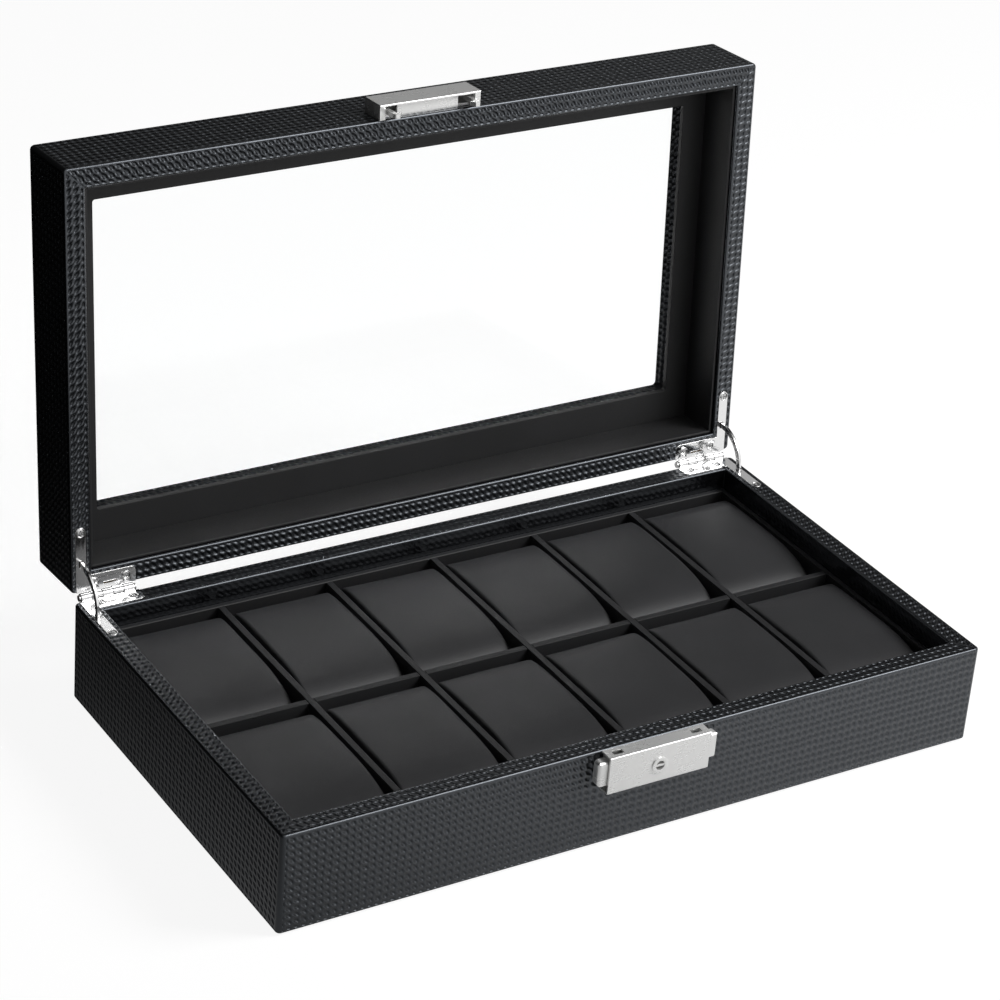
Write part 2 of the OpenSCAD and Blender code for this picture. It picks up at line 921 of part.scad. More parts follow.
module lid_back_wall() {
    color(board)
        swung(lid_open)
            difference() {
                span(-board_in_w / 2, board_in_w / 2, board_in_d / 2, board_out_d / 2,
                    lid_z0 + c, frame_z0);
                over_rim()
                    both_sides()
                        hinge_cuts();
            }
}

module lid_right_wall() {
    color(board)
        swung(lid_open)
            lid_side_board();
}

module lid_left_wall() {
    color(board)
        mirror([1, 0, 0])
            swung(lid_open)
                lid_side_board();
}

// Window opening grown by g
module window_cut(g, z0, z1) {
    translate([0, window_y, 0])
        slab(window_width + 2 * g, window_depth + 2 * g, z0, z1);
}

// Window opening grown by g, with round corners
module round_window_cut(g, z0, z1, r) {
    translate([0, window_y, 0])
        round_slab(window_width + 2 * g, window_depth + 2 * g, z0, z1, r);
}

module lid_frame() {
    color(board)
        swung(lid_open)
            difference() {
                slab(board_out_w, board_out_d, frame_z0, frame_z1);
                round_window_cut(window_step + c, frame_z0 - 1, frame_z1 + 1,
                    window_corner + c);
            }
}

module lid_glass() {
    color(glass_tint)
        swung(lid_open)
            window_cut(glass_hold - fit, glass_z0, frame_z0);
}

// Lined panel that holds the glass up against the frame
module lid_retainer() {
    color(lining)
        swung(lid_open)
            difference() {
                slab(cavity_w - 2 * fit, cavity_d - 2 * fit, retainer_z0, frame_z0);
                window_cut(glass_hold, glass_z0, frame_z0 + 1);
                round_window_cut(0, retainer_z0 - 1, frame_z0 + 1, retainer_corner);
            }
}

module lid_cover() {
    color(leather)
        swung(lid_open)
            difference() {
                round_slab(box_width, box_depth, lid_z0, lid_z1, corner_radius);
                ring(board_out_w, board_out_d, board_in_w, board_in_d, lid_z0 + c, frame_z0);
                difference() {
                    slab(board_out_w, board_out_d, frame_z0, frame_z1);
                    round_window_cut(window_step + c, frame_z0 - 1, frame_z1 + 1,
                        window_corner + c);
                }
                slab(cavity_w, cavity_d, lid_z0 - 1, frame_z0);
                round_window_cut(window_step, lid_z0, lid_z1 + 1, window_corner);
                over_rim()
                    both_sides()
                        hinge_cuts();
                catch_screw_holes();
            }
}

module lid_liner() {
    color(lining)
        swung(lid_open)
            ring(cavity_w - 2 * fit, cavity_d - 2 * fit,
                cavity_w - 2 * fit - 2 * lid_liner_thickness,
                cavity_d - 2 * fit - 2 * lid_liner_thickness,
                lid_z0 + lid_liner_drop, retainer_z0);
}

// ---------- catch on the lid ----------

module catch_cover() {
    color(nickel)
        swung(lid_open)
            at_lock()
                intersection() {
                    union() {
                        span(-case_half, case_half, -lock_depth, face_y1, catch_z0, catch_z1);
                        span(-case_half, case_half, -lock_depth, 0,
                            catch_z1 - lock_sheet, catch_z1);
                        both_sides()
                            span(case_half - catch_post, case_half, -lock_depth, 0,
                                lid_rim_z, catch_z1);
                        span(-barb_in + 2, barb_in - 2, -lock_depth, 0,
                            strip_z, strip_z + lock_sheet);
                    }
                    fold_x(-case_half, case_half, -lock_depth, 0,
                        catch_z0, catch_z1, case_fold);
                }
}

// One hook: arm down from the web, turned towards the middle into a barb
module hook() {
    y1 = hook_y + hook_thickness / 2;
    top = catch_z1 - lock_sheet;
    turn_x = hook_out - hook_round;
    turn_z = barb_z0 + hook_round;
    span(hook_in, hook_out, y1 - hook_thickness, 0, top - lock_sheet, top);
    span(hook_in, hook_out, y1 - hook_thickness, y1, turn_z, top);
    bar_y(turn_x, y1 - hook_thickness, y1, turn_z, hook_round);
    translate([0, y1, 0])
        rotate([90, 0, 0])
            linear_extrude(height = hook_thickness)
                polygon([
                    [barb_in, barb_z1],
                    [barb_in, barb_z1 - 0.8],
                    [hook_in - 0.6, barb_z0],
                    [turn_x, barb_z0],
                    [turn_x, turn_z],
                    [hook_out, turn_z],
                    [hook_out, barb_z1]
                ]);
}

module catch_hooks() {
    color(nickel)
        swung(lid_open)
            at_lock()
                difference() {
                    union() {
                        span(-hook_out, hook_out, -back_plate, 0,
                            strip_z + lock_sheet + 0.2, catch_z1 - lock_sheet);
                        both_sides()
                            hook();
                    }
                    for (s = [-1, 1])
                        translate([s * catch_screw_x, -back_plate, catch_screw_z])
                            from_front()
                                screw_cut(head_depth);
                }
}

module catch_screws() {
    color(steel)
        swung(lid_open)
            at_lock()
                for (s = [-1, 1])
                    translate([s * catch_screw_x, -back_plate, catch_screw_z])
                        from_front()
                            screw(lock_screw_length);
}

base_front_wall();
base_back_wall();
base_left_wall();
base_right_wall();
base_floor();
base_cover();
base_felt();
tray_liner();
divider_long();
divider_cross_1();
divider_cross_2();
divider_cross_3();
divider_cross_4();
divider_cross_5();
pillow_front_1();
pillow_front_2();
pillow_front_3();
pillow_front_4();
pillow_front_5();
pillow_front_6();
pillow_back_1();
pillow_back_2();
pillow_back_3();
pillow_back_4();
pillow_back_5();
pillow_back_6();
base_leaf_left();
base_leaf_right();
lid_leaf_left();
lid_leaf_right();
hinge_pin_left();
hinge_pin_right();
stay_left();
stay_right();
base_hinge_screws();
lid_hinge_screws();
lock_case();
lock_back_plate();
button_left();
button_right();
button_spring();
lock_plug();
lock_cam();
lock_screws();
lid_front_wall();
lid_back_wall();
lid_left_wall();
lid_right_wall();
lid_frame();
lid_glass();
lid_retainer();
lid_cover();
lid_liner();
catch_cover();
catch_hooks();
catch_screws();
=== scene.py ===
"""Looks of the watch box: leatherette covers, suede tray and pillows, glass, hinges and lock."""
import json
import math
import random
import bmesh
import bpy
import numpy as np
from mathutils import Matrix, Vector, noise


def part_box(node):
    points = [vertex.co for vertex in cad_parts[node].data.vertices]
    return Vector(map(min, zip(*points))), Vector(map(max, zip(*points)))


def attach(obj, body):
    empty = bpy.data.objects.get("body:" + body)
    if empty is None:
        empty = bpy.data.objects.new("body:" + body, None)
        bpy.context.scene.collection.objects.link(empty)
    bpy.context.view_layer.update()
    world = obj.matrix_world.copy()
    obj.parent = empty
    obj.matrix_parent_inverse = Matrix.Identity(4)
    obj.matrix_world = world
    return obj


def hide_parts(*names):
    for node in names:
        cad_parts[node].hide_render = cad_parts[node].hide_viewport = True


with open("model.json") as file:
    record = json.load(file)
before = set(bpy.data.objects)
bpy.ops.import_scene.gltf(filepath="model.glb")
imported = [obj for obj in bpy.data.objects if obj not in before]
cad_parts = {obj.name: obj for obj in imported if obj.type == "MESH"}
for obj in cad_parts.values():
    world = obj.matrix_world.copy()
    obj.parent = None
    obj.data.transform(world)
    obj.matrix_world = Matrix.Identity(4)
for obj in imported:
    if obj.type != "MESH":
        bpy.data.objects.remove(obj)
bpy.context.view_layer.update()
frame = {"nodes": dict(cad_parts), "record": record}
nodes = frame["nodes"]
scene = bpy.context.scene
scene.view_settings.view_transform = "Standard"
MM = 0.001

# Sizes of the real box in millimetres, as in the CAD source, with the lid closed
HALF_WIDTH, HALF_DEPTH = 167.5, 94.0
BASE_LOW, BASE_TOP = 0.8, 46.5       # underside and rim of the base's cover
LID_LOW, LID_TOP = 46.9, 79.9        # rim and top of the lid's cover
RIM, COVER, TURNED = 9.5, 0.9, 12    # width of a rim, thickness of a cover, width turned under
PIN_Y, PIN_Z, OPEN = 96.4, 46.7, math.radians(94)
# Window in the lid's cover: half width, front and back edge, corner radius
WINDOW_X, WINDOW_FRONT, WINDOW_BACK, WINDOW_CORNER = 146.6, -72.1, 70.1, 2.6
# Hinge leaves: middle, half width and middle of the round end of the side arm; front edge, end
# and corner radius of the back arm
ARM_X, ARM_HALF, ARM_END = 162.75, 2.4, 66.4
BACK_EDGE, BACK_END, BACK_ROUND = 86.6, 137.65, 2.4
PILLOW = (47.7, 76.0, 31.5)

# Sizes that only the scene has: radii of a cover's folds at a rim and of its upright corners
# outside, the least one inside, and where the covers end behind the linings and over the glass
OUTER_FOLD, INNER_FOLD = 1.0, 0.9
ROUND, LEAST_ROUND = 2.0, 0.4
BASE_INSIDE, LID_INSIDE, WINDOW_INSIDE = 33.0, 72.0, 73.5
# Pockets for the hinge leaves: gap around a leaf, depth from the rim, and the cutter's far side
LEAF_GAP, POCKET_DEPTH, POCKET_PAST = 0.15, 1.9, 1.1


# ---------- camera ----------

# Place in metres, angles in radians and focal length, solved from the photograph's corners
CAMERA_AT = (-0.66265, -0.977303, 0.747429)
AZIMUTH, ELEVATION, ROLL = -0.581, 0.498, 0.085
FOCAL_PIXELS, PHOTO_PIXELS, SENSOR = 3248.825, 1000, 36


def make_camera():
    data = bpy.data.cameras.new("camera")
    cam = bpy.data.objects.new("camera", data)
    scene.collection.objects.link(cam)
    data.sensor_width, data.sensor_fit = SENSOR, "HORIZONTAL"
    data.lens = FOCAL_PIXELS / PHOTO_PIXELS * SENSOR
    data.clip_start, data.clip_end = 0.05, 20
    back = Vector((math.sin(AZIMUTH) * math.cos(ELEVATION),
                   -math.cos(AZIMUTH) * math.cos(ELEVATION), math.sin(ELEVATION)))
    level = Vector((0, 0, 1)).cross(back).normalized()
    upright = back.cross(level)
    c, s = math.cos(ROLL), math.sin(ROLL)
    right, up = c * level + s * upright, -s * level + c * upright
    placed = Matrix((right, up, back)).transposed().to_4x4()
    placed.translation = Vector(CAMERA_AT)
    cam.matrix_world = placed
    scene.camera = cam


# ---------- node trees ----------

class Tree:
    """The nodes of a material or of the world, made by short calls. A value is a socket, which
    is linked, or a plain number or colour; i0, i1 and so on name an input by its place."""

    def __init__(self, owner, kind="Material", coordinates="Object"):
        owner.use_nodes = True
        self.owner = owner
        self.links = owner.node_tree.links
        self.nodes = owner.node_tree.nodes
        self.nodes.clear()
        self.out = self.node("Output" + kind)
        self.at = self.node("TexCoord").outputs[coordinates]

    def node(self, kind, settings=None, **inputs):
        n = self.nodes.new("ShaderNode" + kind)
        for key, value in (settings or {}).items():
            setattr(n, key, value)
        for key, value in inputs.items():
            self.put(n, key.replace("_", " "), value)
        return n

    def put(self, n, key, value):
        by_place = key[0] == "i" and key[1:].isdigit()
        socket = n.inputs[int(key[1:]) if by_place else key]
        if isinstance(value, bpy.types.NodeSocket):
            self.links.new(value, socket)
        else:
            socket.default_value = value

    def math(self, operation, a, b=0.0):
        return self.node("Math", {"operation": operation}, i0=a, i1=b).outputs[0]

    def noise(self, place, scale, detail, rough=0.5):
        return self.node("TexNoise", Vector=place, Scale=scale, Detail=detail,
                         Roughness=rough).outputs["Fac"]

    def off_middle(self, fac, share):
        """A noise's distance from its middle, times a share."""
        return self.math("MULTIPLY", self.math("SUBTRACT", fac, 0.5), share)

    def spread(self, fac, from_min, from_max, to_min, to_max):
        return self.node("MapRange", {"interpolation_type": "SMOOTHSTEP"}, Value=fac,
                         From_Min=from_min, From_Max=from_max, To_Min=to_min,
                         To_Max=to_max).outputs[0]

    def toward(self, direction):
        return self.node("VectorMath", {"operation": "DOT_PRODUCT"}, i0=self.at,
                         i1=direction).outputs["Value"]

    def mix(self, fac, a, b):
        return self.node("Mix", {"data_type": "RGBA"}, i0=fac, i6=a, i7=b).outputs[2]

    def mix_levels(self, fac, a, b):
        return self.node("Mix", {"data_type": "FLOAT"}, i0=fac, i2=a, i3=b).outputs[0]

    def bump(self, height, distance, strength):
        return self.node("Bump", Height=height, Distance=distance, Strength=strength).outputs[0]

    def finish(self, shader):
        self.links.new(shader.outputs[0], self.out.inputs[0])
        return self.owner

    def shade(self, **inputs):
        return self.finish(self.node("BsdfPrincipled", **inputs))


def grey(value, blue=1.06):
    return (value, value, value * blue, 1)


# ---------- materials ----------

WEAVE = 3.25        # millimetres from pit to pit
SLANT = 1.2         # shift of the slanting wave against the other two, in radians


def leatherette():
    """Black coated fabric, embossed as a weave, with painted shade in its pits, its corners' arcs
    and its bottom fold. It dies out towards a fold, which is glossier.
    """
    t = Tree(bpy.data.materials.new("leatherette"))
    weave = t.node("SeparateXYZ", Vector=t.node("UVMap", {"uv_map": "Weave"}).outputs[0])
    fold = t.node("SeparateXYZ", Vector=t.node("UVMap", {"uv_map": "Fold"}).outputs[0])
    bend, inner = fold.outputs[0], fold.outputs[1]
    turns = []
    for axis, scale in ((0, 90), (1, 110)):
        wobble = t.off_middle(t.noise(t.at, scale, 2), 0.6)
        turns.append(t.math("MULTIPLY", t.math("ADD", weave.outputs[axis], wobble), 2 * math.pi))
    square = t.math("ADD", t.math("COSINE", turns[0]), t.math("COSINE", turns[1]))
    slant = t.math("COSINE", t.math("ADD", t.math("ADD", turns[0], turns[1]), SLANT))
    wave = t.math("MULTIPLY", t.math("ADD", square, slant), 0.44)
    unbent = t.math("SUBTRACT", 1.0, bend)
    grain = t.noise(t.at, 1900, 3, 0.6)
    patch = t.noise(t.at, 14, 3)
    pit = t.math("MULTIPLY", t.spread(wave, -0.05, 0.95, 0.0, 1.0), unbent)
    relief = t.math("MULTIPLY", t.math("ADD", wave, t.math("MULTIPLY", pit, 0.6)), unbent)
    height = t.math("SUBTRACT", t.math("MULTIPLY", grain, 0.1), relief)
    # painted shade: the weave's pits, the corners' arcs and the bottom fold (the Fold layer's
    # second coordinate) are coloured darker
    dark = t.math("MAXIMUM", pit, inner)
    color = t.mix(dark, grey(0.003, 1.2), grey(0.0006))
    rough = t.math("ADD", t.spread(dark, 0, 1, 0.33, 0.66), t.off_middle(patch, 0.1))
    rough = t.math("SUBTRACT", rough, t.math("MULTIPLY", bend, 0.14))
    return t.shade(Base_Color=color, Roughness=rough, IOR=1.5, Specular_IOR_Level=1.0,
                   Specular_Tint=(0.86, 0.92, 1.0, 1), Normal=t.bump(height, 0.00042, 1.0))


def suede(name, value, rough, gloss):
    """Short-napped microfibre."""
    t = Tree(bpy.data.materials.new(name))
    fine = t.noise(t.at, 2600, 3, 0.65)
    cloud = t.noise(t.at, 26, 4, 0.55)
    shade = t.math("MULTIPLY", t.spread(cloud, 0.3, 0.72, 0.88, 1.14),
                   t.spread(fine, 0.25, 0.75, 0.86, 1.12))
    color = t.mix(t.math("MULTIPLY", shade, 0.5), (0, 0, 0, 1), grey(value * 2))
    height = t.math("ADD", fine, t.math("MULTIPLY", cloud, 0.8))
    return t.shade(Base_Color=color, Roughness=rough, IOR=1.45, Specular_IOR_Level=gloss,
                   Sheen_Weight=0.05, Sheen_Roughness=0.45, Sheen_Tint=(0.8, 0.82, 0.88, 1),
                   Normal=t.bump(height, 0.00012, 0.6))


def lining():
    """Smooth matt lining of the lid."""
    t = Tree(bpy.data.materials.new("lining"))
    fine = t.noise(t.at, 1500, 3, 0.6)
    cloud = t.noise(t.at, 22, 3)
    color = t.mix(t.spread(cloud, 0.3, 0.7, 0, 1), grey(0.011), grey(0.016))
    return t.shade(Base_Color=color, Roughness=t.spread(fine, 0.2, 0.8, 0.5, 0.62), IOR=1.45,
                   Sheen_Weight=0.08, Sheen_Roughness=0.4, Normal=t.bump(fine, 0.00005, 0.5))


def metal(name, value, rough, uneven, warm=0.0, brushed=False, relief=0.35, solid=1.0):
    """Plated or bare metal with fine wear in its gloss, brushed along X or not at all."""
    t = Tree(bpy.data.materials.new(name))
    if brushed:
        stretched = t.node("Mapping", Vector=t.at, Scale=(260, 5200, 5200)).outputs[0]
        brush = t.noise(stretched, 1.0, 3, 0.6)
    else:
        brush = t.noise(t.at, 900, 4, 0.6)
    patch = t.noise(t.at, 60, 4, 0.6)
    gloss = t.math("ADD", t.spread(patch, 0.3, 0.7, rough - uneven / 2, rough + uneven / 2),
                   t.off_middle(brush, uneven))
    color = t.mix(t.spread(brush, 0.2, 0.8, 0, 1),
                  (value * 0.94, value * 0.94, value * (0.94 - warm), 1),
                  (value, value, value * (1 - warm), 1))
    return t.shade(Base_Color=color, Roughness=gloss, Metallic=solid,
                   Normal=t.bump(brush, 0.00003, relief))


def board():
    """Fibreboard's own brown, coloured darker as painted shade where it shows in the hinge
    pockets.
    """
    t = Tree(bpy.data.materials.new("board"))
    fibre = t.noise(t.at, 700, 5, 0.7)
    # painted shade: both browns are darker than raw board so that the pockets under the hinge
    # leaves look shaded
    color = t.mix(t.spread(fibre, 0.3, 0.7, 0, 1), (0.22, 0.155, 0.1, 1), (0.3, 0.22, 0.145, 1))
    return t.shade(Base_Color=color, Roughness=0.85, Normal=t.bump(fibre, 0.0001, 0.6))


def felt():
    t = Tree(bpy.data.materials.new("felt"))
    fibre = t.noise(t.at, 1200, 6, 0.75)
    color = t.mix(t.spread(fibre, 0.3, 0.7, 0, 1), grey(0.007), grey(0.016))
    return t.shade(Base_Color=color, Roughness=1.0, Sheen_Weight=0.4, Sheen_Roughness=0.6,
                   Normal=t.bump(fibre, 0.0003, 0.8))


def glass():
    """Clear glass with a trace of dust."""
    t = Tree(bpy.data.materials.new("clear_glass"))
    dust = t.noise(t.at, 40, 4, 0.6)
    return t.shade(Base_Color=(0.995, 1, 1, 1), Roughness=t.spread(dust, 0.5, 0.8, 0.0, 0.02),
                   IOR=1.25, Transmission_Weight=1.0)


MATERIALS = {
    "leatherette": leatherette(),
    "tray_suede": suede("tray_suede", 0.018, 0.5, 0.5),
    "pillow_suede": suede("pillow_suede", 0.027, 0.46, 0.55),
    "lid_lining": lining(),
    "hinge_chrome": metal("hinge_chrome", 0.88, 0.12, 0.04, relief=0.08),
    "bright_steel": metal("bright_steel", 0.62, 0.24, 0.1),
    "satin_nickel": metal("satin_nickel", 0.87, 0.28, 0.05, warm=0.01, brushed=True, relief=0.2,
                          solid=0.6),
    "board": board(),
    "felt": felt(),
    "clear_glass": glass(),
}


# ---------- outlines and profiles ----------

ARC_STEPS = 6       # faces around each corner of a cover


def arc_points(cx, cz, r, start, end, steps=5):
    angles = [math.radians(start + (end - start) * i / steps) for i in range(steps + 1)]
    return [(cx + r * math.cos(a), cz + r * math.sin(a)) for a in angles]


def swung(points):
    """Turns points of the closed lid, in millimetres, to where they are when it is open."""
    c, s = math.cos(OPEN), math.sin(OPEN)
    out = []
    for x, y, z in points:
        y, z = y - PIN_Y, z - PIN_Z
        out.append((x, PIN_Y + y * c + z * s, PIN_Z - y * s + z * c))
    return out


def ring(half_x, y0, y1, z, r):
    """A level rectangle with round corners, counter-clockwise from the front left.
    Each point comes with its place along the side before it and the side after it."""
    points = []
    corners = ((-half_x, y0, 180), (half_x, y0, 270), (half_x, y1, 0), (-half_x, y1, 90))
    for k, (cx, cy, start) in enumerate(corners):
        ox, oy = cx - math.copysign(r, cx), cy + (r if cy == y0 else -r)
        for i in range(ARC_STEPS + 1):
            a = math.radians(start + 90 * i / ARC_STEPS)
            arc = r * math.pi / 2 * i / ARC_STEPS
            rest = r * math.pi / 2 - arc
            before = (-oy, ox, oy, -ox)[k] + arc
            after = (ox, oy, -ox, -oy)[k] - rest
            points.append(((ox + r * math.cos(a), oy + r * math.sin(a), z), before, after))
    return points


def box_ring(inset, z):
    """A ring around the box, this far in from its outside."""
    return ring(HALF_WIDTH - inset, -HALF_DEPTH + inset, HALF_DEPTH - inset, z,
                max(ROUND - inset, LEAST_ROUND))


def window_ring(inset, z):
    """A ring in the lid's window, this far in from its edge."""
    return ring(WINDOW_X - inset, WINDOW_FRONT + inset, WINDOW_BACK - inset, z,
                WINDOW_CORNER - inset)


def path_steps(path):
    """How far along a profile each of its points lies."""
    out = [0.0]
    for a, b in zip(path, path[1:]):
        out.append(out[-1] + math.dist(a[:2], b[:2]))
    return out


def loft(rings, steps):
    """Joins closed rings into a closed tube. Each corner of a face comes with its place along
    the side, its place along the profile, and 1 where the face is in a corner's arc."""
    count = len(rings[0])
    verts = [point[0] for one in rings for point in one]
    faces, marks = [], []
    for k in range(len(rings)):
        j = (k + 1) % len(rings)
        v0, v1 = steps[k], steps[k + 1] if k + 1 < len(steps) else steps[k] + 1
        for i in range(count):
            i2 = (i + 1) % count
            place = i % (ARC_STEPS + 1)
            straight = place == ARC_STEPS
            side = 2 if place >= ARC_STEPS / 2 else 1
            side2 = 1 if straight else side
            arc = float(not straight)
            faces.append((k * count + i, k * count + i2, j * count + i2, j * count + i))
            marks.append(((rings[k][i][side], v0, arc), (rings[k][i2][side2], v0, arc),
                          (rings[j][i2][side2], v1, arc), (rings[j][i][side], v1, arc)))
    return verts, faces, marks


# ---------- leatherette covers ----------

FOLD_STEP = 0.6                      # points of a profile closer than this are in a fold
FOLD_REACH = 0.7                     # how far a fold's flatness reaches beside it
LONG_RUN = 2.5 * FOLD_REACH          # a straight run longer than this has its own weave
RIM_FLAT, INNER_FLAT = 0.25, 0.85    # how flat the weave is on a rim and on an inner wall
# painted shade on the folded arcs at the box's upright corners
ARC_PAINTED_SHADE = 0.5                       # how dark a corner's folded arc is


def ease(path, low=-99.0, rim=99.0):
    """Marks the folds of a profile with 1, or 2 under z = low, where the fold carries a painted
    shadow along the bottom. Beside them the weave is full, or flattened a little on the rim,
    above z = rim, and more on the inner wall."""
    def flat(x, z):
        return INNER_FLAT if abs(x - RIM) < 0.01 else RIM_FLAT * (z > rim)

    in_fold = [math.dist(a, b) < FOLD_STEP for a, b in zip(path, path[1:])]
    out = []
    for k, (x, z) in enumerate(path):
        if any(in_fold[max(k - 1, 0):k + 1]):
            # a fold under z = low gets 2: a painted shadow along the bottom edge
            bend = 1.0 + (z < low)
        else:
            bend = INNER_FLAT if abs(x - RIM) < 0.01 else 0.0
        if out and math.dist(path[k - 1], (x, z)) > LONG_RUN:
            px, pz, before = out[-1]
            share = FOLD_REACH / math.dist((px, pz), (x, z))
            for at, near in ((share, before), (1 - share, bend)):
                if near >= 1:
                    mx, mz = px + (x - px) * at, pz + (z - pz) * at
                    out.append((mx, mz, flat(mx, min(z, pz))))
        out.append((x, z, bend))
    return out


def cover_piece(name, verts, faces, marks, path, body, node):
    """A cover with two layers of coordinates for its material: the weave's, and how far each
    corner of a face lies in a fold and how much painted shade it carries there."""
    me = bpy.data.meshes.new(name)
    me.from_pydata([tuple(c * MM for c in v) for v in verts], [], faces)
    me.update()
    o = bpy.data.objects.new(name, me)
    scene.collection.objects.link(o)
    me.materials.append(MATERIALS["leatherette"])
    for p in me.polygons:
        p.use_smooth = True
    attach(o, body)
    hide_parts(node)
    steps, bends = path_steps(path), [p[2] for p in path]
    weave, fold = [], []
    for u, v, arc in (mark for face in marks for mark in face):
        bend = float(np.interp(v, steps, bends))
        weave.append((u / WEAVE, v / WEAVE))
        # second coordinate: painted shade, full on the bottom fold and partial on the corners'
        # arcs
        fold.append((min(max(bend, arc), 1.0), max(bend - 1.0, arc * ARC_PAINTED_SHADE)))
    for layer_name, values in (("Weave", weave), ("Fold", fold)):
        layer = me.uv_layers.new(name=layer_name)
        for i, uv in enumerate(values):
            layer.data[i].uv = uv
    return o


def bake_modifiers(o):
    bpy.context.view_layer.update()
    graph = bpy.context.evaluated_depsgraph_get()
    me = bpy.data.meshes.new_from_object(o.evaluated_get(graph), depsgraph=graph)
    o.modifiers.clear()
    o.data = me


def even_normals(o):
    o.modifiers.new("normals", "WEIGHTED_NORMAL").keep_sharp = True


def leaf_outline():
    """Outline of the pocket for the right-hand hinge leaf, open past the back of the box."""
    past = HALF_DEPTH + 2
    points = [(BACK_END - LEAF_GAP, past)]
    points += arc_points(BACK_END + BACK_ROUND, BACK_EDGE + BACK_ROUND, BACK_ROUND + LEAF_GAP,
                         180, 270, 6)
    points += [(ARM_X - ARM_HALF - LEAF_GAP, BACK_EDGE - LEAF_GAP)]
    points += arc_points(ARM_X, ARM_END, ARM_HALF + LEAF_GAP, 180, 360, 12)
    return points + [(ARM_X + ARM_HALF + LEAF_GAP, past)]


def prism(points, z0, z1):
    n = len(points)
    verts = [(x, y, z) for z in (z0, z1) for x, y in points]
    faces = [tuple(reversed(range(n))), tuple(range(n, 2 * n))]
    faces += [(i, (i + 1) % n, n + (i + 1) % n, n + i) for i in range(n)]
    return verts, faces


def cut_leaves(o, z0, z1, change=lambda points: points):
    """Cuts the pockets of both hinge leaves out of a cover."""
    right = leaf_outline()
    for points in (right, [(-x, y) for x, y in reversed(right)]):
        verts, faces = prism(points, z0, z1)
        me = bpy.data.meshes.new("cutter")
        me.from_pydata([tuple(c * MM for c in v) for v in change(verts)], [], faces)
        cutter = bpy.data.objects.new("cutter", me)
        scene.collection.objects.link(cutter)
        mod = o.modifiers.new("cut", "BOOLEAN")
        mod.operation, mod.object, mod.solver = "DIFFERENCE", cutter, "EXACT"
        bake_modifiers(o)
        bpy.data.objects.remove(cutter)


def base_cover():
    """Leatherette of the base: turned under, up the sides, over the rim and down inside."""
    e, g = OUTER_FOLD, INNER_FOLD
    outside = [(TURNED, BASE_LOW)] + arc_points(e, BASE_LOW + e, e, 270, 180) + \
        arc_points(e, BASE_TOP - e, e, 180, 90) + \
        arc_points(RIM - g, BASE_TOP - g, g, 90, 0) + [(RIM, BASE_INSIDE)]
    inside = [(RIM - COVER, BASE_INSIDE), (RIM - COVER, BASE_TOP - COVER),
              (COVER, BASE_TOP - COVER), (COVER, BASE_LOW + COVER), (TURNED, BASE_LOW + COVER)]
    # below z = 2.5 the bottom fold is painted dark as a shadow
    path = ease(outside + inside, low=2.5, rim=BASE_TOP - 0.01)
    verts, faces, marks = loft([box_ring(x, z) for x, z, bend in path], path_steps(path))
    faces, marks = ([tuple(reversed(f)) for f in faces], [tuple(reversed(m)) for m in marks])
    o = cover_piece("base_leatherette", verts, faces, marks, path, "base", "base_cover")
    cut_leaves(o, BASE_TOP - POCKET_DEPTH, BASE_TOP + POCKET_PAST)
    even_normals(o)


def lid_cover():
    """Leatherette of the lid: inside, over the rim, up the sides, over the top, into the window.
    Both halves of its profile have one more point on the top, which only ease needs."""
    e, g, w = OUTER_FOLD, INNER_FOLD, COVER
    window_at = HALF_DEPTH + WINDOW_FRONT
    top_out, top_in = 18, -3
    out = ease([(RIM, LID_INSIDE)] + arc_points(RIM - g, LID_LOW + g, g, 0, -90)
               + arc_points(e, LID_LOW + e, e, 270, 180) + arc_points(e, LID_TOP - e, e, 180, 90)
               + [(top_out, LID_TOP)])[:-1]
    into = ease([(top_in, LID_TOP)]
                + [(w - x, z) for x, z in arc_points(w, LID_TOP - w, w, 90, 180)]
                + [(0, WINDOW_INSIDE), (-COVER, WINDOW_INSIDE), (-COVER, LID_TOP - COVER)])[1:]
    back = [(COVER, LID_TOP - COVER, 0), (COVER, LID_LOW + COVER, 0),
            (RIM - COVER, LID_LOW + COVER, 0), (RIM - COVER, LID_INSIDE, 0)]
    rings = [box_ring(x, z) for x, z, bend in out] + [window_ring(x, z) for x, z, bend in into]
    rings += [box_ring(x, z) for x, z, bend in back]
    path = out + [(window_at + x, z, bend) for x, z, bend in into] + back
    verts, faces, marks = loft(rings, path_steps(path))
    o = cover_piece("lid_leatherette", swung(verts), faces, marks, path, "lid", "lid_cover")
    cut_leaves(o, LID_LOW - POCKET_PAST, LID_LOW + POCKET_DEPTH, swung)
    even_normals(o)


# ---------- pillows ----------

UNFILLED = (2.4, 2.4, 2.0)           # how much smaller a pillow is before it is filled
CUTS = 17                            # cuts across each side of the cube that it starts from
SQUARE_UNDER, SQUARE_FRONT, SQUARE_BACK = 3.6, 2.5, 7.0     # 2 is an ellipse, more is squarer
SEAM_CREASE, SEAM_HOLD = 0.35, 0.55
FILL_FRAMES, SWELL = 20, 2.5         # frames of the simulation, and the most that a point moves
PLAY, FLAT_UNDER = (0.6, 0.4, 0), 0.4    # free on each side, and cut off flat underneath


